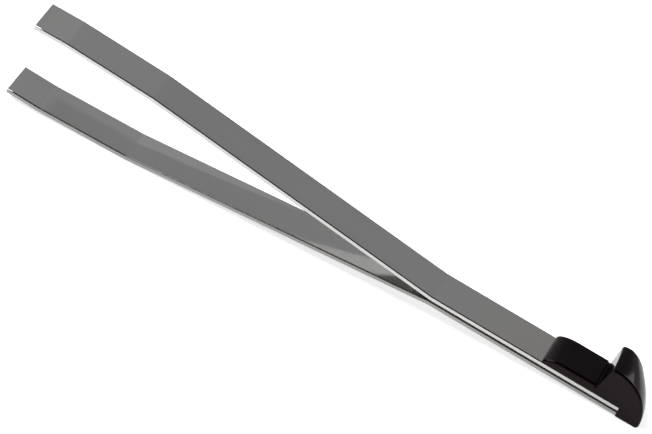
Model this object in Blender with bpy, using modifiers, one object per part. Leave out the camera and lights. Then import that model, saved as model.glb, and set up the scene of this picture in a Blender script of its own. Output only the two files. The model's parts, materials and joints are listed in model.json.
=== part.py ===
"""Sprung print tongs: two bent steel strips riveted under one moulded head.

The tongs are drawn in their own frame first. There X runs from the gripping
tips (negative) to the head (positive), Y is across the strips, and Z = 0 is
the plane where the two strips lie face to face. X = 0 is the strips' inner
end, inside the head. One empty then lays the whole tool down on Z = 0.
"""
import math

import bmesh
import bpy

MM = 0.001

# The strips, as sizes along each arm from the head to the tip (mm, degrees).
STRIP_WIDTH = 12.5
STRIP_THICKNESS = 1.6
ROOT_LENGTH = 62.6
MID_LENGTH = 98.4
FORE_LENGTH = 29.3
TIP_LENGTH = 10.7
MID_ANGLE = 6.58
FORE_ANGLE = 2.28
TIP_ANGLE = -1.33
FACE_GAP = 0.3
EDGE_ROUND = 0.15

# Each arm flexes just past its first bend; the fixed tang ends there.
FLEX_DISTANCE = 8.0
FLEX_GAP = 0.3

# The moulded head (mm).
SEAT_GAP = 0.3
HEAD_PROUD = 0.2
HEAD_LENGTH = 26.1
BLOCK_HEIGHT = 3.1
RAMP_LENGTH = 6.5
NOSE_HEIGHT = 0.2
GROOVE_WIDTH = 0.9
GROOVE_DEPTH = 0.6
HOOK_FOOT = 9.0
HOOK_LEAN = 1.7
HOOK_HEIGHT = 11.5
TIP_LAND = 1.1
END_WALL = 6.9
CORNER_RADIUS = 0.9
FAR_ARC_LOSS = 4.2
FAR_HOOK_LOSS = 1.4
FAR_BLOCK_LOSS = 0.6
FAR_ROUND = 0.45
NEAR_ROUND = 0.15

# The two rivets that hold head and strips together (mm).
REAR_RIVET_FROM_END = 8.5
FRONT_RIVET_FROM_NOSE = 7.1
SHANK_RADIUS = 1.2
SHANK_CLEARANCE = 0.3
RIVET_COVER = 0.7
RIVET_HEAD_RADIUS = 2.1
RIVET_HEAD_HEIGHT = 0.5

HEAD_WIDTH = STRIP_WIDTH + 2 * HEAD_PROUD
SHANK_DEPTH = BLOCK_HEIGHT - GROOVE_DEPTH - RIVET_COVER - SHANK_CLEARANCE
RIVET_PLACES = {"rivet_rear": -REAR_RIVET_FROM_END,
                "rivet_front": FRONT_RIVET_FROM_NOSE - HEAD_LENGTH}

ARC_STEPS = 14
WIDTH_STEPS = 10
TURN_STEPS = 28


# ---------------------------------------------------------------- outlines

def arm_path():
    """Inner face of the upper arm as (x, z) points, from the head to the tip."""
    points = [(0.0, FACE_GAP / 2)]
    lengths = (ROOT_LENGTH, MID_LENGTH, FORE_LENGTH, TIP_LENGTH)
    angles = (0.0, MID_ANGLE, FORE_ANGLE, TIP_ANGLE)
    for length, angle in zip(lengths, angles):
        x, z = points[-1]
        turn = math.radians(angle)
        points.append((x - length * math.cos(turn), z + length * math.sin(turn)))
    return points


def point_along(start, end, distance):
    """The point at a distance from start, on the line from start to end."""
    share = distance / math.dist(start, end)
    return tuple(a + share * (b - a) for a, b in zip(start, end))


def strip_outline(inner):
    """Closed outline of a bent strip: its inner face and its outer face."""
    normals = []
    for (x0, z0), (x1, z1) in zip(inner, inner[1:]):
        length = math.hypot(x1 - x0, z1 - z0)
        normals.append(((z1 - z0) / length, -(x1 - x0) / length))
    outer = []
    for index, (x, z) in enumerate(inner):
        before = normals[max(index - 1, 0)]
        after = normals[min(index, len(normals) - 1)]
        mitre = 1.0 + before[0] * after[0] + before[1] * after[1]
        outer.append((x + STRIP_THICKNESS * (before[0] + after[0]) / mitre,
                      z + STRIP_THICKNESS * (before[1] + after[1]) / mitre))
    return inner + outer[::-1]


def arm_outlines():
    """Outlines of the fixed tang and of the moving blade, and their hinge."""
    path = arm_path()
    tang_end = point_along(path[1], path[2], FLEX_DISTANCE - FLEX_GAP / 2)
    blade_start = point_along(path[1], path[2], FLEX_DISTANCE + FLEX_GAP / 2)
    middle = point_along(path[1], path[2], FLEX_DISTANCE)
    turn = math.radians(MID_ANGLE)
    half = STRIP_THICKNESS / 2
    hinge = (middle[0] + half * math.sin(turn), middle[1] + half * math.cos(turn))
    tang = strip_outline(path[:2] + [tang_end])
    blade = strip_outline([blade_start] + path[2:])
    return tang, blade, hinge


def arc_points(centre, radius_x, radius_z, start, end, steps):
    """Points of an elliptic arc between two angles in degrees."""
    points = []
    for step in range(steps + 1):
        angle = math.radians(start + (end - start) * step / steps)
        points.append((centre[0] + radius_x * math.cos(angle),
                       centre[1] + radius_z * math.sin(angle)))
    return points


def head_outline(share):
    """Side outline of the head: share 0 is its near side, 1 its far side."""
    seat = FACE_GAP / 2 + STRIP_THICKNESS
    floor = -seat
    fall = share * share
    top = seat + BLOCK_HEIGHT - FAR_BLOCK_LOSS * fall
    tip = seat + HOOK_HEIGHT - FAR_HOOK_LOSS * fall
    foot = -HOOK_FOOT
    tip_inner = foot + HOOK_LEAN
    tip_outer = tip_inner + TIP_LAND
    back = END_WALL - FAR_ARC_LOSS * fall
    wall = SEAT_GAP

    bottom = arc_points((back - CORNER_RADIUS, floor + CORNER_RADIUS),
                        CORNER_RADIUS, CORNER_RADIUS, -90, 0, 4)
    arc_base = floor + CORNER_RADIUS
    outer = arc_points((tip_outer, arc_base), back - tip_outer, tip - arc_base,
                       0, 90, ARC_STEPS)
    tip_drop = TIP_LAND / 4
    groove = top - GROOVE_DEPTH
    block_end = foot - GROOVE_WIDTH
    ramp_top = -HEAD_LENGTH + RAMP_LENGTH
    nose = seat + SEAT_GAP + NOSE_HEIGHT
    ramp = arc_points((ramp_top, nose), RAMP_LENGTH, top - nose, 90, 180, 5)
    return ([(wall, floor)] + bottom + outer[1:]
            + [(tip_inner, tip - tip_drop), (foot, groove), (block_end, groove),
               (block_end - GROOVE_DEPTH / 3, top)]
            + ramp
            + [(-HEAD_LENGTH, seat + SEAT_GAP), (wall, seat + SEAT_GAP)])


def inset_outline(points, distance):
    """The outline moved inwards by a distance, with mitred corners."""
    moved = []
    count = len(points)
    for index, (x, z) in enumerate(points):
        px, pz = points[index - 1]
        nx, nz = points[(index + 1) % count]
        back = math.hypot(x - px, z - pz)
        ahead = math.hypot(nx - x, nz - z)
        n0 = (-(z - pz) / back, (x - px) / back)
        n1 = (-(nz - z) / ahead, (nx - x) / ahead)
        mitre = max(1.0 + n0[0] * n1[0] + n0[1] * n1[1], 0.6)
        moved.append((x + distance * (n0[0] + n1[0]) / mitre,
                      z + distance * (n0[1] + n1[1]) / mitre))
    return moved


def rivet_outline():
    """Half outline of a rivet as (radius, z), from its end down to its head."""
    seat = FACE_GAP / 2 + STRIP_THICKNESS
    under = -seat - SEAT_GAP
    end = seat + SHANK_DEPTH
    lip = RIVET_HEAD_HEIGHT * 0.4
    return [(0.0, end), (SHANK_RADIUS, end), (SHANK_RADIUS, under),
            (RIVET_HEAD_RADIUS, under), (RIVET_HEAD_RADIUS, under - lip),
            (RIVET_HEAD_RADIUS * 0.7, under - RIVET_HEAD_HEIGHT),
            (0.0, under - RIVET_HEAD_HEIGHT)]


def lie_down():
    """Tilt in radians and shift that rest the tool on its bend and its head."""
    arm = strip_outline(arm_path())
    lower_arm = [(x, -z) for x, z in arm]
    head = head_outline(0.0) + head_outline(1.0)
    for place in RIVET_PLACES.values():
        head += [(place + side * r, z) for r, z in rivet_outline() for side in (-1, 1)]
    everything = arm + lower_arm + head

    def height(point, tilt):
        return point[1] * math.cos(tilt) - point[0] * math.sin(tilt)

    tilt = 0.0
    for _ in range(12):
        foot_arm = min(lower_arm, key=lambda point: height(point, tilt))
        foot_head = min(head, key=lambda point: height(point, tilt))
        tilt = math.atan2(foot_head[1] - foot_arm[1], foot_head[0] - foot_arm[0])
    lows = min(height(point, tilt) for point in everything)
    reach = [x * math.cos(tilt) + z * math.sin(tilt) for x, z in everything]
    return tilt, -(min(reach) + max(reach)) / 2, -lows


# ----------------------------------------------------------------- helpers

def new_collection(name):
    """A collection linked to the scene."""
    collection = bpy.data.collections.new(name)
    bpy.context.scene.collection.children.link(collection)
    return collection


def new_material(name, colour, roughness, metallic):
    """A Principled material with a colour, roughness and metallic value."""
    material = bpy.data.materials.new(name)
    material.use_nodes = True
    shader = material.node_tree.nodes["Principled BSDF"]
    shader.inputs["Base Color"].default_value = (*colour, 1.0)
    shader.inputs["Roughness"].default_value = roughness
    shader.inputs["Metallic"].default_value = metallic
    material.diffuse_color = (*colour, 1.0)
    return material


def add_object(name, mesh, collection, parent, material=None):
    """A named object in a collection, under the laid-down empty."""
    obj = bpy.data.objects.new(name, mesh)
    collection.objects.link(obj)
    obj.parent = parent
    if material:
        mesh.materials.append(material)
    return obj


def flat_strip(name, outline, collection, parent, material, origin=(0.0, 0.0)):
    """A bent strip: its side outline as a filled 2D curve, extruded across."""
    curve = bpy.data.curves.new(name, "CURVE")
    curve.dimensions = "2D"
    curve.fill_mode = "BOTH"
    curve.extrude = STRIP_WIDTH / 2 * MM
    spline = curve.splines.new("POLY")
    spline.points.add(len(outline) - 1)
    for point, (x, z) in zip(spline.points, outline):
        point.co = ((x - origin[0]) * MM, (z - origin[1]) * MM, 0.0, 1.0)
    spline.use_cyclic_u = True
    source = bpy.data.objects.new(name + "_outline", curve)
    bpy.context.scene.collection.objects.link(source)
    source.rotation_euler = (math.radians(90), 0.0, 0.0)
    bpy.context.view_layer.update()

    evaluated = source.evaluated_get(bpy.context.evaluated_depsgraph_get())
    mesh = bpy.data.meshes.new_from_object(evaluated)
    mesh.name = name
    mesh.materials.clear()
    mesh.transform(source.matrix_world)
    bm = bmesh.new()
    bm.from_mesh(mesh)
    bmesh.ops.remove_doubles(bm, verts=bm.verts, dist=0.00001)
    bmesh.ops.recalc_face_normals(bm, faces=bm.faces)
    bm.to_mesh(mesh)
    bm.free()
    bpy.data.objects.remove(source)

    strip = add_object(name, mesh, collection, parent, material)
    strip.location = (origin[0] * MM, 0.0, origin[1] * MM)
    edge = strip.modifiers.new("rounded_edges", "BEVEL")
    edge.width = EDGE_ROUND * MM
    edge.segments = 2
    edge.limit_method = "ANGLE"
    edge.angle_limit = math.radians(40)
    return strip


def bore(target, cutter):
    """Cut one object with another."""
    cut = target.modifiers.new("bore_" + cutter.name, "BOOLEAN")
    cut.operation = "DIFFERENCE"
    cut.solver = "EXACT"
    cut.object = cutter


def rounded_sharp(obj, degrees):
    """Smooth shading with sharp edges above an angle."""
    obj.data.shade_smooth()
    obj.data.set_sharp_from_angle(angle=math.radians(degrees))


# ------------------------------------------------------------------- parts

def make_head(collection, parent, material):
    """The moulded head: block, groove, hook and end wall in one solid."""
    half = HEAD_WIDTH / 2
    stations = [(-half, NEAR_ROUND)]
    inner_width = HEAD_WIDTH - NEAR_ROUND - FAR_ROUND
    for step in range(WIDTH_STEPS + 1):
        stations.append((-half + NEAR_ROUND + inner_width * step / WIDTH_STEPS, 0.0))
    stations.append((half - FAR_ROUND * 0.3, FAR_ROUND * 0.3))
    stations.append((half, FAR_ROUND))

    bm = bmesh.new()
    rings = []
    for y, inset in stations:
        outline = inset_outline(head_outline((y + half) / HEAD_WIDTH), inset)
        rings.append([bm.verts.new((x * MM, y * MM, z * MM)) for x, z in outline])
    for ring, following in zip(rings, rings[1:]):
        for index in range(len(ring)):
            after = (index + 1) % len(ring)
            bm.faces.new((ring[index], ring[after], following[after], following[index]))
    bm.faces.new(rings[0])
    bm.faces.new(rings[-1][::-1])
    bmesh.ops.recalc_face_normals(bm, faces=bm.faces)
    bmesh.ops.triangulate(bm, faces=bm.faces)
    mesh = bpy.data.meshes.new("head")
    bm.to_mesh(mesh)
    bm.free()
    head = add_object("head", mesh, collection, parent, material)
    rounded_sharp(head, 35)
    return head


def make_rivet(name, place, collection, parent, material):
    """A low round-headed rivet, turned, with its head under the lower strip."""
    mesh = bpy.data.meshes.new(name)
    verts = [(r * MM, 0.0, z * MM) for r, z in rivet_outline()]
    edges = [(i, i + 1) for i in range(len(verts) - 1)]
    mesh.from_pydata(verts, edges, [])
    rivet = add_object(name, mesh, collection, parent, material)
    rivet.location.x = place * MM
    turn = rivet.modifiers.new("turned", "SCREW")
    turn.axis = "Z"
    turn.steps = TURN_STEPS
    turn.render_steps = TURN_STEPS
    turn.use_merge_vertices = True
    turn.merge_threshold = 0.00001
    turn.use_smooth_shade = True
    return rivet


def make_bore(name, place, collection, parent):
    """The hole that a rivet passes through, as a cutter."""
    seat = FACE_GAP / 2 + STRIP_THICKNESS
    low = -2.0 * seat
    high = seat + SHANK_DEPTH + SHANK_CLEARANCE
    bm = bmesh.new()
    bmesh.ops.create_cone(bm, cap_ends=True, segments=TURN_STEPS,
                          radius1=(SHANK_RADIUS + SHANK_CLEARANCE) * MM,
                          radius2=(SHANK_RADIUS + SHANK_CLEARANCE) * MM,
                          depth=(high - low) * MM)
    mesh = bpy.data.meshes.new(name)
    bm.to_mesh(mesh)
    bm.free()
    cutter = add_object(name, mesh, collection, parent)
    cutter.location = (place * MM, 0.0, (high + low) / 2 * MM)
    cutter.hide_render = True
    cutter.display_type = "WIRE"
    return cutter


def mirrored(outline):
    """The outline of the same strip in the lower arm."""
    return [(x, -z) for x, z in outline][::-1]


def build():
    """Make every part of the tongs."""
    for obj in list(bpy.data.objects):
        bpy.data.objects.remove(obj)
    parts = new_collection("print_tongs")
    cutters = new_collection("cutters")
    steel = new_material("stainless_strip", (0.62, 0.61, 0.60), 0.24, 1.0)
    rivet_steel = new_material("rivet_steel", (0.55, 0.54, 0.53), 0.35, 1.0)
    plastic = new_material("black_moulding", (0.020, 0.018, 0.018), 0.18, 0.0)

    tilt, shift, lift = lie_down()
    rest = bpy.data.objects.new("laid_down", None)
    parts.objects.link(rest)
    rest.rotation_euler = (0.0, tilt, 0.0)
    rest.location = (shift * MM, 0.0, lift * MM)

    tang, blade, hinge = arm_outlines()
    upper_tang = flat_strip("upper_tang", tang, parts, rest, steel)
    lower_tang = flat_strip("lower_tang", mirrored(tang), parts, rest, steel)
    flat_strip("upper_blade", blade, parts, rest, steel, hinge)
    flat_strip("lower_blade", mirrored(blade), parts, rest, steel, (hinge[0], -hinge[1]))

    head = make_head(parts, rest, plastic)
    for name, place in RIVET_PLACES.items():
        make_rivet(name, place, parts, rest, rivet_steel)
        cutter = make_bore(name + "_bore", place, cutters, rest)
        for target in (upper_tang, lower_tang, head):
            bore(target, cutter)


build()
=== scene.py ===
# %% [markdown]
# # Print tongs
# A pair of darkroom tongs is two bent strips of stainless spring steel, lying face to face at one end
# under a black moulded head, and springing apart towards the tips. This lesson builds the looks of the
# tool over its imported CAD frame. The CAD frame holds the sizes and the motion, so nothing here is moved
# or resized. Every piece is made as a new mesh in the same place, with the fine edges that light needs.

import json
import math

import bmesh
import bpy
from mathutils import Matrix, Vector


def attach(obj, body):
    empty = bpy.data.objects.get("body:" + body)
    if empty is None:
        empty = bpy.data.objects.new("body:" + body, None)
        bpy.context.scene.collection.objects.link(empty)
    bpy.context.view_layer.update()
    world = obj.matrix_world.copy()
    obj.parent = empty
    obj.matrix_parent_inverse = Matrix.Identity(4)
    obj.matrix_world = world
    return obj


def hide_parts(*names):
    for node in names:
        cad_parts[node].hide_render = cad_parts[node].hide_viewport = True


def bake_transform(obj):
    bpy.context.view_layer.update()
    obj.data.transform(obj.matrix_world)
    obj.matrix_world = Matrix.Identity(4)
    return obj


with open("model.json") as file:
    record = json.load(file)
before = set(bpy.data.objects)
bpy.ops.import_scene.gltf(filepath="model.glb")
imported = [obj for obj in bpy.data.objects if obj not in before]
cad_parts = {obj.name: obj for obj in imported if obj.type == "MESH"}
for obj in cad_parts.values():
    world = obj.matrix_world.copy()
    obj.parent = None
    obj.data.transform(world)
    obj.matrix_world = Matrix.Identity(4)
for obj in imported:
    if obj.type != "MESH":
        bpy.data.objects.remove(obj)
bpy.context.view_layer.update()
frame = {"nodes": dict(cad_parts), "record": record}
nodes = frame["nodes"]
print("CAD nodes:", sorted(nodes))

# %% [markdown]
# ## The tongs' own frame
# The tool lies tilted on the surface, resting on the lower arm's bend and on the head. Its shapes are
# simplest in its own frame, where X runs from the tips to the head, the plane Z = 0 lies between the two
# strips, and X = 0 is the strips' inner end. The two flex hinges are mirror images across that plane, so
# the line from one to the other gives the tilt, and their middle gives the place.

# %% Find the tilt and the place
MM = 0.001
STRIP_WIDTH = 12.5
STRIP_THICKNESS = 1.6
FACE_GAP = 0.3
ROOT_LENGTH = 62.6
MID_LENGTH = 98.4
FORE_LENGTH = 29.3
TIP_LENGTH = 10.7
MID_ANGLE = 6.58
FORE_ANGLE = 2.28
TIP_ANGLE = -1.33
FLEX_DISTANCE = 8.0

joints = {joint["name"]: joint for joint in frame["record"]["behaviour"]["joints"]}
upper_hinge = Vector(joints["upper_flex"]["pos_m"])
lower_hinge = Vector(joints["lower_flex"]["pos_m"])
between = upper_hinge - lower_hinge
tilt = math.atan2(between.x, between.z)
turn = math.radians(MID_ANGLE)
hinge_x = -(ROOT_LENGTH + FLEX_DISTANCE * math.cos(turn)) + STRIP_THICKNESS / 2 * math.sin(turn)
along = Vector((math.cos(tilt), 0.0, -math.sin(tilt)))
upward = Vector((math.sin(tilt), 0.0, math.cos(tilt)))
end_point = (upper_hinge + lower_hinge) / 2 - along * hinge_x * MM


def place(x, y, z):
    """A point of the tongs' own frame, in millimetres, as a point of the row frame in metres."""
    return end_point + (along * x + upward * z) * MM + Vector((0.0, y * MM, 0.0))


print("tilt in degrees:", round(math.degrees(tilt), 3))
print("strip end at", tuple(round(value, 5) for value in end_point))

# %% [markdown]
# ## Shader maths as expressions
# A procedural finish is a formula over the surface. Blender writes formulas as chains of Math nodes, which
# are hard to read in code. The small class below wraps one socket, so that `1 - mask` or `grain * 0.3`
# adds the Math nodes by itself. A second class holds one material and makes any other node.

# %% The wire and the finish
class Wire:
    """One output socket, with the arithmetic that the finishes use."""

    def __init__(self, finish, socket):
        self.finish = finish
        self.socket = socket

    def math(self, operation, other, swapped=False):
        """A Math node of this value and another."""
        first, second = (other, self) if swapped else (self, other)
        return self.finish.node("ShaderNodeMath", {"operation": operation}, {0: first, 1: second})

    def __add__(self, other):
        return self.math("ADD", other)

    def __radd__(self, other):
        return self.math("ADD", other, swapped=True)

    def __sub__(self, other):
        return self.math("SUBTRACT", other)

    def __rsub__(self, other):
        return self.math("SUBTRACT", other, swapped=True)

    def __mul__(self, other):
        return self.math("MULTIPLY", other)

    def __rmul__(self, other):
        return self.math("MULTIPLY", other, swapped=True)

    def __gt__(self, other):
        return self.math("GREATER_THAN", other)

    def __lt__(self, other):
        return self.math("LESS_THAN", other)


class Finish:
    """One material with a Principled shader, and the nodes that vary it."""

    def __init__(self, name):
        self.material = bpy.data.materials.new(name)
        self.material.use_nodes = True
        self.tree = self.material.node_tree
        self.shader = self.tree.nodes["Principled BSDF"]

    def node(self, kind, settings=None, sockets=None, output=0):
        """Any node: its settings first, then the values or links of its sockets."""
        made = self.tree.nodes.new(kind)
        for name, value in (settings or {}).items():
            setattr(made, name, value)
        for name, value in (sockets or {}).items():
            self.feed(self.find(made.inputs, name), value)
        return Wire(self, self.find(made.outputs, output))

    def find(self, sockets, name):
        """A socket by its place, identifier or name."""
        if isinstance(name, int):
            return sockets[name]
        for socket in sockets:
            if name in (socket.identifier, socket.name) and socket.enabled:
                return socket
        raise KeyError(name)

    def feed(self, socket, value):
        """A link or a plain value into a socket."""
        if isinstance(value, Wire):
            self.tree.links.new(value.socket, socket)
        else:
            socket.default_value = value

    def shade(self, **inputs):
        """Values or links on the Principled shader, with spaces written as underscores."""
        for name, value in inputs.items():
            self.feed(self.find(self.shader.inputs, name.replace("_", " ")), value)

    def mix(self, factor, first, second):
        """Two colours mixed by a factor."""
        return self.node("ShaderNodeMix", {"data_type": "RGBA"},
                         {"Factor_Float": factor, "A_Color": first, "B_Color": second}, "Result_Color")

    def noise(self, vector, scale, detail=3.0, roughness=0.5):
        """Noise from 0 to 1 over a vector."""
        return self.node("ShaderNodeTexNoise", {},
                         {"Vector": vector, "Scale": scale, "Detail": detail, "Roughness": roughness})

    def rise(self, value, start, end):
        """A smooth step from 0 to 1 as a value goes from start to end."""
        return self.node("ShaderNodeMapRange", {"interpolation_type": "SMOOTHSTEP"},
                         {"Value": value, "From Min": start, "From Max": end})

    def stretched(self, vector, scale, rotation=(0.0, 0.0, 0.0)):
        """A vector with its own scale along each axis."""
        return self.node("ShaderNodeMapping", {},
                         {"Vector": vector, "Scale": scale, "Rotation": rotation})


print("helpers ready")

# %% [markdown]
# ## Satin stainless strip
# The strip is rolled stainless steel. It is a metal, so its colour is its reflection: almost neutral, a
# little warm. Rolling leaves a faint grain along the strip, and use leaves small rubbed patches, hairline
# scratches and a few specks. The strips carry UVs in centimetres, along and across, so every mark has its
# real scale and follows the bends. Some marks have a place of their own. A paler band along the lower
# strip's far side, up to the bend near the tip, is a painted reflection, and past that bend the near side
# is darkened with painted shade. Close to the head the steel is a little warmer. The faces that look down
# are darkened with painted shade, and so are the lower strip's edges, for the shadowed floor that they
# mirror. The lengths below are in centimetres, along and round the strip.

# %% The strip's face
STRIP_MAP = "strip_cm"
STEEL_DARK = (0.505, 0.503, 0.50, 1.0)
STEEL_LIGHT = (0.54, 0.538, 0.534, 1.0)
STEEL_WARM = (0.545, 0.515, 0.485, 1.0)
# Painted reflection: the paler colour of a band along the lower strip's far side.
STEEL_PAINTED_REFLECTION = (0.70, 0.698, 0.694, 1.0)
# Painted shade: the darker colour of the near side past the bend near the tip.
STEEL_TIP_SHADE = (0.43, 0.428, 0.425, 1.0)
# Painted shade: the darker colour given to the faces that look down.
STEEL_PAINTED_SHADE = (0.10, 0.10, 0.10, 1.0)
SPECK_BROWN = (0.20, 0.18, 0.16, 1.0)
WARM_FROM, WARM_TO = 5.5, 2.6
# Where the painted reflection band lies on the strip.
BAND_ORIGIN = 11.0
BAND_LEAN = 0.072
BAND_EDGE = (2.42, 2.54)
BAND_START = (9.8, 12.5)
TIP_BEND = (16.13, 16.07)
# Bounds of the painted shade past the tip bend, round and along the strip.
TIP_SHADE_EDGE = (2.32, 2.0)
UPPER_FACE_END = (1.2, 1.3)
TIP_SHADE_END = (19.1, 18.5)
EDGE_DARK = (0.45, 0.445, 0.44, 1.0)
EDGE_LIGHT = (0.52, 0.514, 0.507, 1.0)
# Painted shade: the darker, warmer colour of the lower strip's edges, for the shadowed floor they mirror.
EDGE_PAINTED_SHADE = (0.160, 0.155, 0.150, 1.0)


def strip_face(name, underside_shade):
    """Rolled stainless steel with grain, rubbed patches, scratches, specks, a painted reflection band and
    painted shade past the tip bend. A painted shade of the given strength darkens it.
    """
    finish = Finish(name)
    uv = finish.node("ShaderNodeUVMap", {"uv_map": STRIP_MAP})
    grain = finish.noise(finish.stretched(uv, (1.2, 55.0, 1.0)), 4.0, 4.0, 0.6)
    rubbed = finish.noise(finish.stretched(uv, (0.5, 1.1, 1.0)), 1.0, 3.0)
    fine = finish.noise(finish.stretched(uv, (14.0, 14.0, 1.0)), 3.0, 2.0)
    scratch_field = finish.noise(finish.stretched(uv, (0.8, 26.0, 1.0), (0.0, 0.0, 0.35)), 3.0, 2.0)
    scratches = scratch_field > 0.735
    cells = finish.node("ShaderNodeTexVoronoi", {"feature": "F1"}, {"Vector": uv, "Scale": 3.2})
    pick = finish.node("ShaderNodeTexVoronoi", {"feature": "F1"}, {"Vector": uv, "Scale": 3.2}, "Color")
    chosen = finish.node("ShaderNodeSeparateColor", {}, {"Color": pick})
    specks = (cells < 0.055) * (chosen > 0.72)
    clean = finish.mix(rubbed * 0.9, STEEL_DARK, STEEL_LIGHT)
    along_strip = finish.node("ShaderNodeSeparateXYZ", {}, {0: uv}, "X")
    round_strip = finish.node("ShaderNodeSeparateXYZ", {}, {0: uv}, "Y")
    near_head = finish.rise(along_strip, WARM_FROM, WARM_TO)
    warmed = finish.mix(near_head * rubbed * 0.9, clean, STEEL_WARM)
    # Painted reflection: a paler band along the far side, from the middle of the arm up to the tip bend.
    wander = round_strip + (along_strip - BAND_ORIGIN) * BAND_LEAN + (rubbed - 0.5) * 0.12
    before_bend = finish.rise(along_strip, *TIP_BEND)
    reflection_band = finish.rise(wander, *BAND_EDGE) * finish.rise(along_strip, *BAND_START) * before_bend
    with_reflection = finish.mix(reflection_band * 0.85, warmed, STEEL_PAINTED_REFLECTION)
    # Painted shade: past the bend near the tip, the near side is darker.
    tip_shade_mask = (finish.rise(round_strip, *TIP_SHADE_EDGE) * finish.rise(round_strip, *UPPER_FACE_END)
                 * finish.rise(along_strip, *TIP_SHADE_END))
    tip_shaded = finish.mix(tip_shade_mask * (1 - before_bend) * 0.9, with_reflection, STEEL_TIP_SHADE)
    # Painted shade on the faces that look down, as strong as asked.
    underside_shaded = finish.mix(underside_shade * (0.8 + rubbed * 0.4), tip_shaded, STEEL_PAINTED_SHADE)
    marked = finish.mix(specks * 0.7, underside_shaded, SPECK_BROWN)
    rough = 0.075 + grain * 0.03 + rubbed * 0.03 + scratches * 0.06 + specks * 0.3
    height = grain * 0.6 + fine * 0.15 - scratches * 0.5
    bump = finish.node("ShaderNodeBump", {}, {"Height": height, "Strength": 0.03, "Distance": 0.00001})
    finish.shade(Base_Color=marked, Roughness=rough, Metallic=1.0, Normal=bump)
    return finish.material


def strip_edge(name, edge_shade):
    """The strip's cut edge, with fine marks across its thickness. Painted shade darkens and warms it."""
    finish = Finish(name)
    uv = finish.node("ShaderNodeUVMap", {"uv_map": STRIP_MAP})
    shear = finish.noise(finish.stretched(uv, (60.0, 2.0, 1.0)), 2.0, 3.0, 0.6)
    patch = finish.noise(finish.stretched(uv, (0.8, 4.0, 1.0)), 1.0, 2.0)
    # Painted shade darkens the lower strip's edges, as strong as asked.
    colour = finish.mix(edge_shade, finish.mix(patch, EDGE_DARK, EDGE_LIGHT), EDGE_PAINTED_SHADE)
    bump = finish.node("ShaderNodeBump", {}, {"Height": shear, "Strength": 0.04, "Distance": 0.00001})
    finish.shade(Base_Color=colour, Roughness=0.10 + shear * 0.08, Metallic=1.0, Normal=bump)
    return finish.material


UPPER, LOWER = 1, -1
up_steel = strip_face("satin_strip_steel", 0.0)
# The faces that look down get painted shade.
down_steel = strip_face("shaded_strip_steel", 0.34)
# The lower strip's edges get painted shade.
edge_steels = {UPPER: strip_edge("cut_strip_edge", 0.0), LOWER: strip_edge("shaded_strip_edge", 0.66)}
print("strip finishes:", up_steel.name, down_steel.name, [steel.name for steel in edge_steels.values()])

# %% [markdown]
# ## Black moulding
# The head is an injection moulding in black plastic with a gloss surface. A black gloss piece shows nearly
# nothing but reflections, so what makes it look real is how its gloss changes: a faint ripple where the
# moulding shrank, softer patches from handling, hairlines, and dust. The plastic is very slightly warm.

# %% The moulding's finish
BLACK_DARK = (0.0012, 0.0007, 0.0008, 1.0)
BLACK_LIGHT = (0.0024, 0.0016, 0.0017, 1.0)
DUST_GREY = (0.06, 0.056, 0.053, 1.0)
GLOSS_TINT = (1.0, 0.72, 0.78, 1.0)
RIVET_DARK = (0.46, 0.455, 0.45, 1.0)
RIVET_LIGHT = (0.58, 0.575, 0.565, 1.0)


def gloss_moulding():
    """Warm black gloss plastic with shrink ripple, handling haze, hairlines and dust."""
    finish = Finish("black_gloss_moulding")
    spot = finish.node("ShaderNodeTexCoord", {}, {}, "Object")
    ripple = finish.noise(spot, 420.0, 2.0)
    haze = finish.noise(spot, 160.0, 3.0)
    skin = finish.noise(spot, 5200.0, 2.0)
    hairs = finish.noise(finish.stretched(spot, (260.0, 2600.0, 900.0), (0.2, 0.3, 0.5)), 1.0, 2.0) > 0.74
    cells = finish.node("ShaderNodeTexVoronoi", {"feature": "F1"}, {"Vector": spot, "Scale": 900.0})
    dust = cells < 0.085
    black = finish.mix(haze, BLACK_DARK, BLACK_LIGHT)
    dusty = finish.mix(dust * 0.2, black, DUST_GREY)
    rough = 0.09 + haze * 0.07 + hairs * 0.10 + dust * 0.3
    height = ripple * 1.0 + skin * 0.06 - hairs * 0.03 + dust * 0.05
    bump = finish.node("ShaderNodeBump", {}, {"Height": height, "Strength": 0.10, "Distance": 0.0001})
    finish.shade(Base_Color=dusty, Roughness=rough, Specular_IOR_Level=0.135,
                 Specular_Tint=GLOSS_TINT, Normal=bump)
    return finish.material


def rivet_finish():
    """Rivet steel: duller than the strips, with a fine hammered skin."""
    finish = Finish("dull_rivet_steel")
    spot = finish.node("ShaderNodeTexCoord", {}, {}, "Object")
    skin = finish.noise(spot, 2400.0, 3.0)
    patch = finish.noise(spot, 500.0, 2.0)
    colour = finish.mix(patch, RIVET_DARK, RIVET_LIGHT)
    bump = finish.node("ShaderNodeBump", {}, {"Height": skin, "Strength": 0.15, "Distance": 0.00005})
    finish.shade(Base_Color=colour, Roughness=0.30 + skin * 0.15, Metallic=1.0, Normal=bump)
    return finish.material


moulding = gloss_moulding()
rivet_steel = rivet_finish()
print("other finishes:", moulding.name, rivet_steel.name)

# %% [markdown]
# ## Lofting rings
# Both the strips and the head are long shapes whose section changes little from one end to the other. A
# loft joins rings of points, one ring per station, with quads between them and a cap at each end. It gives
# full control over where the edge loops lie, which a cube with a bevel doesn't. Weighted normals keep the
# big faces flat while the small roundings stay smooth.

# %% The loft
CM_PER_M = 100


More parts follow.
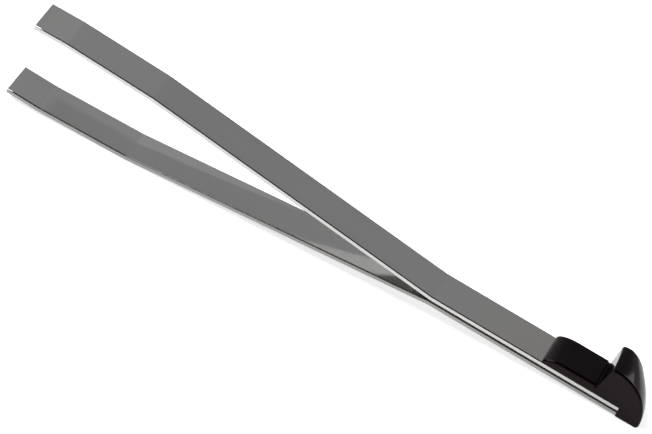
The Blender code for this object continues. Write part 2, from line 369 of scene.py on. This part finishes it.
def loft(name, rings, materials, slots=None, widths=None, stations=None):
    """A closed mesh through rings of points, with a material per side of the ring and UVs if asked."""
    bm = bmesh.new()
    uv_layer = bm.loops.layers.uv.new(STRIP_MAP) if widths else None
    made = [[bm.verts.new(point) for point in ring] for ring in rings]
    count = len(rings[0])
    for row in range(len(made) - 1):
        for side in range(count):
            after = (side + 1) % count
            face = bm.faces.new((made[row][side], made[row][after],
                                 made[row + 1][after], made[row + 1][side]))
            face.material_index = slots[side] if slots else 0
            if uv_layer:
                corners = ((row, side), (row, side + 1), (row + 1, side + 1), (row + 1, side))
                for loop, (station, across) in zip(face.loops, corners):
                    loop[uv_layer].uv = (stations[station], widths[across])
    for cap in (bm.faces.new(made[0]), bm.faces.new(made[-1][::-1])):
        cap.material_index = len(materials) - 1
        if uv_layer:
            for loop in cap.loops:
                loop[uv_layer].uv = (loop.vert.co.z * CM_PER_M, loop.vert.co.y * CM_PER_M)
    bmesh.ops.recalc_face_normals(bm, faces=bm.faces)
    bmesh.ops.triangulate(bm, faces=[face for face in bm.faces if len(face.verts) > 4])
    mesh = bpy.data.meshes.new(name)
    bm.to_mesh(mesh)
    bm.free()
    for material in materials:
        mesh.materials.append(material)
    mesh.shade_smooth()
    piece = bpy.data.objects.new(name, mesh)
    bpy.context.scene.collection.objects.link(piece)
    flat = piece.modifiers.new("flat_faces", "WEIGHTED_NORMAL")
    flat.weight = 100  # the largest faces decide the normals alone
    flat.keep_sharp = True
    return piece


print("loft ready")

# %% [markdown]
# ## The bent strips
# On the real tool each arm is one strip, bent three times: once where the arms part, and twice near the
# tip so that the tips meet flat. The CAD frame splits it where it flexes, because a solid can't bend. Here
# it is whole again. The spine runs through the middle of the strip's thickness, each bend is a short arc,
# and stations are close together where the strip flexes.

# %% The spine of an arm
BEND_RADIUS = 4.0
FLEX_STATION_STEP = 1.0
PLAIN_STATION_STEP = 4.0
FLEX_LEAD = 4.0
FLEX_REACH = 34.0
LAST_STATION_ROOM = 0.3


def spine_corners():
    """Corners of the upper arm's middle line as (x, z), with the direction of each run."""
    angles = [math.radians(angle) for angle in (0.0, MID_ANGLE, FORE_ANGLE, TIP_ANGLE)]
    lengths = (ROOT_LENGTH, MID_LENGTH, FORE_LENGTH, TIP_LENGTH)
    inner = [(0.0, FACE_GAP / 2)]
    for length, angle in zip(lengths, angles):
        x, z = inner[-1]
        inner.append((x - length * math.cos(angle), z + length * math.sin(angle)))
    half = STRIP_THICKNESS / 2
    corners = []
    for index, (x, z) in enumerate(inner):
        before = angles[max(index - 1, 0)]
        after = angles[min(index, len(angles) - 1)]
        middle = (before + after) / 2
        out = half / math.cos((after - before) / 2)
        corners.append((x + out * math.sin(middle), z + out * math.cos(middle)))
    return corners, angles


def spine_stations():
    """Stations along the arm: (distance, x, z, angle), from the head to the tip."""
    corners, angles = spine_corners()
    stations = []
    distance = 0.0
    for run, angle in enumerate(angles):
        (x0, z0), (x1, z1) = corners[run], corners[run + 1]
        length = math.hypot(x1 - x0, z1 - z0)
        trim_start = trim_end = 0.0
        if run > 0:
            trim_start = BEND_RADIUS * math.tan(abs(angle - angles[run - 1]) / 2)
        if run < len(angles) - 1:
            trim_end = BEND_RADIUS * math.tan(abs(angles[run + 1] - angle) / 2)
        position = trim_start
        while position < length - trim_end - LAST_STATION_ROOM:
            stations.append((distance + position, x0 + (x1 - x0) * position / length,
                             z0 + (z1 - z0) * position / length, angle))
            flexing = ROOT_LENGTH - FLEX_LEAD < distance + position < ROOT_LENGTH + FLEX_REACH
            position += FLEX_STATION_STEP if flexing else PLAIN_STATION_STEP
        last = length - trim_end
        stations.append((distance + last, x0 + (x1 - x0) * last / length,
                         z0 + (z1 - z0) * last / length, angle))
        distance += length
    return stations


stations = spine_stations()
print("stations:", len(stations), "arm length in mm:", round(stations[-1][0], 2))

# %% [markdown]
# ## The section of a strip
# A slit strip isn't a sharp box. Slitting rolls one edge over and leaves the other nearly square, so the
# near edge has a rounding of 0.42 mm and the far one of 0.2 mm. The near one mirrors the dark part of the
# room as a thin line above the bright edge. The section is a rounded rectangle, and a smaller rounding is
# carried round the square-cut ends by shrinking the first and last rings. Each side of the ring takes its
# own steel: one for what looks up, one for what looks down, and one for the cut edges.

# %% Make the two arms
NEAR_EDGE_ROUND = 0.42
FAR_EDGE_ROUND = 0.2
END_ROUND = 0.08
STRIP_END = -0.25
ROUND_STEPS = 6
END_STEPS = 4
UP, DOWN, EDGE = 0, 1, 2
MM_PER_CM = 10


def section(inset):
    """Points (across, outward) of a strip's section, shrunk by an inset."""
    half_width = STRIP_WIDTH / 2 - inset
    half_thick = STRIP_THICKNESS / 2 - inset
    points = []
    for corner, (sign_y, sign_n) in enumerate(((1, 1), (-1, 1), (-1, -1), (1, -1))):
        radius = (FAR_EDGE_ROUND if sign_y > 0 else NEAR_EDGE_ROUND) - inset
        for step in range(ROUND_STEPS + 1):
            angle = math.radians(90 * corner + 90 * step / ROUND_STEPS)
            points.append((sign_y * (half_width - radius) + radius * math.cos(angle),
                           sign_n * (half_thick - radius) + radius * math.sin(angle)))
    return points


def section_slots(side):
    """The material of each side of the section: its roundings and edges, its outer and its inner face."""
    outer, inner = (UP, DOWN) if side == UPPER else (DOWN, UP)
    slots = []
    for after_corner in (outer, EDGE, inner, EDGE):
        slots += [EDGE] * ROUND_STEPS + [after_corner]
    return slots


def way_round():
    """The distance round the section at each of its points, in centimetres."""
    points = section(0.0)
    way = [0.0]
    for index, point in enumerate(points):
        after = points[(index + 1) % len(points)]
        way.append(way[-1] + math.dist(point, after) / MM_PER_CM)
    return way


def arm(name, side):
    """One whole strip, for the upper or the lower arm."""
    quarter = [math.radians(90 * step / END_STEPS) for step in range(END_STEPS)]
    rounding = [(END_ROUND * (1 - math.cos(angle)), END_ROUND * (1 - math.sin(angle))) for angle in quarter]
    (_, _, root_z, root_angle), (tip_at, tip_x, tip_z, tip_angle) = stations[0], stations[-1]
    start = -STRIP_END
    rows = [(start + depth, STRIP_END - depth, root_z, root_angle, inset) for depth, inset in rounding]
    rows += [(*station, 0.0) for station in stations if start + END_ROUND < station[0] < tip_at - END_ROUND]
    rows += [(tip_at - depth, tip_x + depth * math.cos(tip_angle), tip_z - depth * math.sin(tip_angle),
              tip_angle, inset) for depth, inset in reversed(rounding)]
    rings = []
    for _, x, z, angle, inset in rows:
        rings.append([place(x + out * math.sin(angle), across, side * (z + out * math.cos(angle)))
                      for across, out in section(inset)])
    return loft(name, rings, [up_steel, down_steel, edge_steels[side]], section_slots(side), way_round(),
                [row[0] / MM_PER_CM for row in rows])


upper_strip = arm("upper_strip", UPPER)
lower_strip = arm("lower_strip", LOWER)
print("strip faces:", len(upper_strip.data.polygons), len(lower_strip.data.polygons))

# %% [markdown]
# ## Where the arms flex
# A squeezed arm bends like a leaf spring. Near the head the two strips hold each other straight, so the
# bend starts where they part, and runs to a little past the CAD hinge. Here that span is only worked out:
# the strips are not bent and not joined to the bodies. Each strip's placement is baked into its mesh, and
# the CAD tangs and blades are hidden.

# %% Bake the strips in place
FLEX_PAST_HINGE = 18.0


def flex(strip, side):
    """Works out where the strip's bend starts and ends, without using it, and bakes the strip's placement
    into its mesh.
    """
    start = place(-ROOT_LENGTH, 0.0, side * STRIP_THICKNESS / 2)
    reach = FLEX_DISTANCE + FLEX_PAST_HINGE
    end = place(-ROOT_LENGTH - reach * math.cos(turn), 0.0, side * reach * math.sin(turn))
    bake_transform(strip)


flex(upper_strip, UPPER)
flex(lower_strip, LOWER)
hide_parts("upper_tang", "upper_blade")
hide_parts("lower_tang", "lower_blade")
print("arms flex from", ROOT_LENGTH, "mm to", ROOT_LENGTH + FLEX_DISTANCE + FLEX_PAST_HINGE, "mm")

# %% [markdown]
# ## The moulded head
# The head is a low block that sits on the upper strip, with a thin rounded nose, and behind a narrow
# groove it rises to a hook. The tongs hang from that hook on the rim of a tray. The near side is flat and
# full, with evenly rounded edges. Towards the far side the hook is drawn in, stands more upright and gets
# rounder. The outline is a list of corners, each with its own rounding, and the hook's back is one elliptic
# arc. A loft from the near side to the far side changes the outline a little at each station. A cube with
# cuts and bevels would be quicker, but it couldn't make a hook whose shape changes across its width.

# %% Outline tools
CORNER_STEPS = 5
SIDE_SHARE = 0.45
CORNER_PULL = 0.9
LEAST_MITRE = 0.5
LEAST_ROUND = 0.03


def arc(centre, radius_x, radius_z, start, end, steps, flatness=1.0):
    """Points of an elliptic arc between two angles in degrees. A flatness above 1 flattens its middle."""
    points = []
    for step in range(steps + 1):
        angle = math.radians(start + (end - start) * step / steps)
        cosine, sine = math.cos(angle), math.sin(angle)
        points.append((centre[0] + radius_x * math.copysign(abs(cosine) ** flatness, cosine),
                       centre[1] + radius_z * math.copysign(abs(sine) ** flatness, sine)))
    return points


def inset(corners, depth):
    """Corners (x, z, rounding, share of the depth) moved inwards, each by its share of a depth."""
    moved = []
    for index, (x, z, rounding, share) in enumerate(corners):
        before, after = corners[index - 1], corners[(index + 1) % len(corners)]
        back = math.dist((x, z), before[:2])
        ahead = math.dist((x, z), after[:2])
        n0 = ((before[1] - z) / back, (x - before[0]) / back)
        n1 = ((z - after[1]) / ahead, (after[0] - x) / ahead)
        mitre = max(1.0 + n0[0] * n1[0] + n0[1] * n1[1], LEAST_MITRE)
        step = depth * share / mitre
        turns_left = n0[0] * n1[1] - n0[1] * n1[0] > 0
        radius = rounding - depth * share if turns_left else rounding + depth * share
        moved.append((x + step * (n0[0] + n1[0]), z + step * (n0[1] + n1[1]),
                      max(radius, LEAST_ROUND) if rounding else 0.0))
    return moved


def softened(corners):
    """The outline with each rounded corner replaced by a short arc that touches both of its sides."""
    points = []
    for index, (x, z, radius) in enumerate(corners):
        if not radius:
            points.append((x, z))
            continue
        corner = Vector((x, z))
        before, after = Vector(corners[index - 1][:2]), Vector(corners[(index + 1) % len(corners)][:2])
        a, b = (before - corner).normalized(), (after - corner).normalized()
        half = math.acos(max(-1.0, min(1.0, a.dot(b)))) / 2
        room = SIDE_SHARE * min((before - corner).length, (after - corner).length)
        touch = min(radius / math.tan(half), room)
        for step in range(CORNER_STEPS + 1):
            t = step / CORNER_STEPS
            weights = ((1 - t) ** 2, 2 * t * (1 - t) * CORNER_PULL, t ** 2)
            total = sum(weights)
            point = ((corner + a * touch) * weights[0] + corner * weights[1]
                     + (corner + b * touch) * weights[2]) / total
            points.append(tuple(point))
    return points


print("outline tools ready")

# %% The head's outline
HEAD_WIDTH = STRIP_WIDTH + 0.4
HEAD_LENGTH = 26.1
BLOCK_HEIGHT = 3.1
BLOCK_FRONT_HEIGHT = 3.0
RAMP_LENGTH = 6.5
NOSE_HEIGHT = 0.35
GROOVE_WIDTH = 0.5
GROOVE_DEPTH = 0.4
HOOK_FOOT = 8.85
HOOK_LEAN = 1.6
HOOK_HEIGHT = 11.5
TIP_LAND = 1.3
END_WALL = 7.25
CORNER_RADIUS = 0.9
FAR_ARC_LOSS = 4.4
FAR_LAND_GAIN = 0.95
FAR_HOOK_ROUNDING = 0.5
FAR_FLATNESS = 0.13
FAR_HOOK_LOSS = 0.4
FAR_BLOCK_LOSS = 0.1
FAR_LEAN_LOSS = 1.0
SEAT_CLEARANCE = 0.02
HEEL_LIFT = 0.03
TIP_DROP = 0.26
TIP_ROUND = 0.35
FAR_TIP_ROUND_GAIN = 0.85
FOOT_ROUND = 0.35
STEP_ROUND = 0.2
LIP_ROUND = 0.3
LIP_LEAN = 1 / 3
HEEL_STEPS = 8
BACK_STEPS = 40
RAMP_STEPS = 14
LOW_EDGE_SHARE = 0.2


def head_corners(share):
    """Side outline of the head: share 0 is its near side, 1 its far side."""
    seat = FACE_GAP / 2 + STRIP_THICKNESS
    floor = HEEL_LIFT - seat
    fall = share * share
    top = seat + BLOCK_HEIGHT - FAR_BLOCK_LOSS * fall
    front_top = seat + BLOCK_FRONT_HEIGHT
    tip = seat + HOOK_HEIGHT - FAR_HOOK_LOSS * fall
    back = END_WALL - FAR_ARC_LOSS * fall
    foot = -HOOK_FOOT
    tip_inner = foot + HOOK_LEAN - FAR_LEAN_LOSS * fall
    tip_outer = tip_inner + TIP_LAND + FAR_LAND_GAIN * fall
    hook_share = 1.0 + FAR_HOOK_ROUNDING * fall
    arc_base = floor + CORNER_RADIUS
    groove = top - GROOVE_DEPTH
    block_end = foot - GROOVE_WIDTH
    ramp_top = -HEAD_LENGTH + RAMP_LENGTH
    nose = seat + NOSE_HEIGHT
    lift = seat + SEAT_CLEARANCE
    low = LOW_EDGE_SHARE

    wall = STRIP_END + SEAT_CLEARANCE
    corners = [(wall, floor, 0.0, low)]
    heel = arc((back - CORNER_RADIUS, arc_base), CORNER_RADIUS, CORNER_RADIUS, -90, 0, HEEL_STEPS)
    corners += [(x, z, 0.0, low + (1 - low) * step / HEEL_STEPS) for step, (x, z) in enumerate(heel)]
    hook_back = arc((tip_outer, arc_base), back - tip_outer, tip - arc_base, 0, 90, BACK_STEPS,
                    1.0 + FAR_FLATNESS * fall)
    corners += [(x, z, 0.0, 1.0 + (hook_share - 1.0) * step / BACK_STEPS)
                for step, (x, z) in enumerate(hook_back) if step]
    corners += [(tip_inner, tip - TIP_DROP, TIP_ROUND + FAR_TIP_ROUND_GAIN * fall, hook_share),
                (foot, groove, FOOT_ROUND, 1.0), (block_end, groove, STEP_ROUND, 1.0),
                (block_end - GROOVE_DEPTH * LIP_LEAN, top, LIP_ROUND, 1.0)]
    ramp = arc((ramp_top, nose), RAMP_LENGTH, front_top - nose, 90, 180, RAMP_STEPS)
    corners += [(x, z, 0.0, 1.0 - (1 - low) * (step / RAMP_STEPS) ** 3) for step, (x, z) in enumerate(ramp)]
    corners += [(-HEAD_LENGTH, lift, 0.0, low), (wall, lift, 0.0, low)]
    return corners


print("outline corners:", len(head_corners(0.0)))

# %% Make the head
NEAR_ROUND = 0.75
FAR_ROUND = 1.05
NEAR_ROUND_STEPS = 8
FAR_ROUND_STEPS = 9
HEAD_STATIONS = 22


def side_rounding(radius, steps):
    """Depth from the side and inset, for each ring of a rounded edge."""
    quarter = [math.radians(90 * step / steps) for step in range(steps)]
    return [(radius * (1 - math.cos(angle)), radius * (1 - math.sin(angle))) for angle in quarter]


def make_head():
    """The moulded head in one closed piece."""
    half = HEAD_WIDTH / 2
    rows = [(-half + depth, inwards) for depth, inwards in side_rounding(NEAR_ROUND, NEAR_ROUND_STEPS)]
    span = HEAD_WIDTH - NEAR_ROUND - FAR_ROUND
    rows += [(-half + NEAR_ROUND + span * step / HEAD_STATIONS, 0.0) for step in range(HEAD_STATIONS + 1)]
    rows += [(half - depth, inwards)
             for depth, inwards in reversed(side_rounding(FAR_ROUND, FAR_ROUND_STEPS))]
    rings = []
    for y, inwards in rows:
        points = softened(inset(head_corners((y + half) / HEAD_WIDTH), inwards))
        rings.append([place(x, y, z) for x, z in points])
    return loft("moulded_head", rings, [moulding])


head = make_head()
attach(head, "handle")
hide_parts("head")
print("head faces:", len(head.data.polygons))

# %% [markdown]
# ## The hidden rivets
# Something has to hold the two strips in the head. Here it is two low rivets, which come up through both
# strips into the moulding. Only their round heads show, under the lower strip. Each is a turned shape, a
# half outline swept round its own axis, so it is lofted like the rest, from rings of one radius each.

# %% Make the rivets
SHANK_RADIUS = 1.2
RIVET_HEAD_RADIUS = 2.1
RIVET_HEAD_HEIGHT = 0.5
RIVET_FACETS = 48
RIVETS = {"rivet_rear": -8.5, "rivet_front": 7.1 - HEAD_LENGTH}
SHANK_ABOVE_STRIP = 1.4
SHANK_CHAMFER = 0.15
HEAD_RIM_ROUND = 0.35
HEAD_SEAT = 0.02
HEAD_FLAT_RADIUS = 0.7


def rivet(name, x):
    """A low domed rivet whose head sits under the lower strip."""
    under = -(FACE_GAP / 2 + STRIP_THICKNESS)
    top = -under + SHANK_ABOVE_STRIP
    seat = under - HEAD_SEAT
    rim = arc((RIVET_HEAD_RADIUS - HEAD_RIM_ROUND, under - SHANK_CHAMFER), HEAD_RIM_ROUND, HEAD_RIM_ROUND,
              0, -65, 6)
    profile = [(SHANK_RADIUS - SHANK_CHAMFER, top), (SHANK_RADIUS, top - SHANK_CHAMFER),
               (SHANK_RADIUS, seat), (RIVET_HEAD_RADIUS, seat), *rim,
               (HEAD_FLAT_RADIUS, under - RIVET_HEAD_HEIGHT)]
    rings = []
    for radius, z in profile:
        ring = []
        for facet in range(RIVET_FACETS):
            angle = 2 * math.pi * facet / RIVET_FACETS
            ring.append(place(x + radius * math.cos(angle), radius * math.sin(angle), z))
        rings.append(ring)
    piece = loft(name + "_turned", rings, [rivet_steel])
    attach(piece, "handle")
    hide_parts(name)
    return piece


for rivet_name, rivet_x in RIVETS.items():
    print(rivet(rivet_name, rivet_x).name)

# %% [markdown]
# ## Floor, light and camera
# The stage is a plain pale floor, which glows a little like a light table, so that shadows stay faint.
# Steel and gloss black are mirrors, so the light is made of soft panels and a sky rather than of small
# lamps. The faces that look up mirror the sky behind the tool, which is a soft grey that changes from left
# to right, so each bend of a strip gets its own tone. The sky in front and overhead is dark, and the
# roundings mirror it as dark lines. The cut edges mirror the floor. The camera looks down on the tool from
# in front, with a long lens, and is rolled so that the tool runs from the upper left to the lower right.

# %% The stage
FLOOR_HALF_SIZE = 6.0
FLOOR_DARK = (0.90, 0.90, 0.90, 1.0)
FLOOR_LIGHT = (0.93, 0.93, 0.93, 1.0)
FLOOR_GLOW = 0.66
PANEL_AIM = Vector((0.0, 0.0, 0.01))
PANELS = {"back_left_panel": ((-1.2, 0.75, 1.1), 1.1, 3.5),
          "back_right_panel": ((1.15, 1.05, 1.1), 1.1, 12.0),
          "left_panel": ((-0.85, -0.33, 1.32), 0.9, 19.0)}
SKY_STOPS = ((-1.0, 0.8), (-0.55, 0.8), (-0.28, 0.46), (-0.20, 0.325), (-0.155, 0.36), (-0.125, 0.42),
             (-0.06, 0.38), (0.0, 0.35), (0.10, 0.33), (0.22, 0.34), (0.65, 0.75), (1.0, 0.85))
SKY_DEPTH = {"From Min": 0.05, "From Max": 0.55, "To Min": 0.12, "To Max": 1.0}


def pale_floor():
    """A matt pale floor with a faint glow of its own."""
    finish = Finish("pale_floor")
    spot = finish.node("ShaderNodeTexCoord", {}, {}, "Object")
    cloud = finish.noise(spot, 3.0, 2.0)
    colour = finish.mix(cloud, FLOOR_DARK, FLOOR_LIGHT)
    finish.shade(Base_Color=colour, Roughness=0.9, Specular_IOR_Level=0.1,
                 Emission_Color=colour, Emission_Strength=FLOOR_GLOW)
    mesh = bpy.data.meshes.new("floor")
    signs = ((-1, -1), (1, -1), (1, 1), (-1, 1))
    corners = [(x * FLOOR_HALF_SIZE, y * FLOOR_HALF_SIZE, 0) for x, y in signs]
    mesh.from_pydata(corners, [], [(0, 1, 2, 3)])
    mesh.materials.append(finish.material)
    floor = bpy.data.objects.new("floor", mesh)
    bpy.context.scene.collection.objects.link(floor)


def panel(name, place_at, size, power):
    """A square soft light that faces the tool."""
    lamp = bpy.data.lights.new(name, "AREA")
    lamp.shape = "SQUARE"
    lamp.size = size
    lamp.energy = power
    obj = bpy.data.objects.new(name, lamp)
    obj.location = place_at
    obj.rotation_euler = (PANEL_AIM - obj.location).to_track_quat("-Z", "Y").to_euler()
    bpy.context.scene.collection.objects.link(obj)


def studio_sky():
    """A soft grey sky: bright behind the tool and brightest at its sides, dark in front and overhead."""
    world = bpy.data.worlds.new("studio_sky")
    world.use_nodes = True
    tree = world.node_tree
    direction = tree.nodes.new("ShaderNodeTexCoord")
    parts = tree.nodes.new("ShaderNodeSeparateXYZ")
    tree.links.new(direction.outputs["Generated"], parts.inputs[0])
    middle = tree.nodes.new("ShaderNodeMapRange")
    middle.inputs["From Min"].default_value = -1.0
    tree.links.new(parts.outputs["X"], middle.inputs["Value"])
    across = tree.nodes.new("ShaderNodeValToRGB")
    while len(across.color_ramp.elements) < len(SKY_STOPS):
        across.color_ramp.elements.new(0.5)
    for element, (x, grey) in zip(across.color_ramp.elements, SKY_STOPS):
        element.position = (x + 1) / 2
        element.color = (grey, grey, grey, 1.0)
    tree.links.new(middle.outputs["Result"], across.inputs["Fac"])
    depth = tree.nodes.new("ShaderNodeMapRange")
    depth.interpolation_type = "SMOOTHSTEP"
    for name, value in SKY_DEPTH.items():
        depth.inputs[name].default_value = value
    tree.links.new(parts.outputs["Y"], depth.inputs["Value"])
    strength = tree.nodes.new("ShaderNodeMath")
    strength.operation = "MULTIPLY"
    tree.links.new(across.outputs["Color"], strength.inputs[0])
    tree.links.new(depth.outputs["Result"], strength.inputs[1])
    background = tree.nodes["Background"]
    background.inputs["Color"].default_value = (1.0, 1.0, 1.0, 1.0)
    tree.links.new(strength.outputs[0], background.inputs["Strength"])
    bpy.context.scene.world = world


pale_floor()
studio_sky()
for panel_name, (panel_place, panel_size, panel_power) in PANELS.items():
    panel(panel_name, panel_place, panel_size, panel_power)
print("stage set, with panels:", sorted(PANELS))

# %% The camera
CAMERA_PLACE = (0.138785, -0.978952, 0.854671)
CAMERA_TURN = (47.3468, -16.7329, 23.1232)
LENS = 248.5

camera_data = bpy.data.cameras.new("camera")
camera_data.lens = LENS
camera_data.sensor_width = 36.0
camera_data.clip_start = 0.05
camera_data.clip_end = 20.0
camera = bpy.data.objects.new("camera", camera_data)
camera.location = CAMERA_PLACE
camera.rotation_euler = [math.radians(angle) for angle in CAMERA_TURN]
bpy.context.scene.collection.objects.link(camera)
bpy.context.scene.camera = camera
bpy.context.scene.view_settings.view_transform = "Standard"
print("camera at", CAMERA_PLACE)
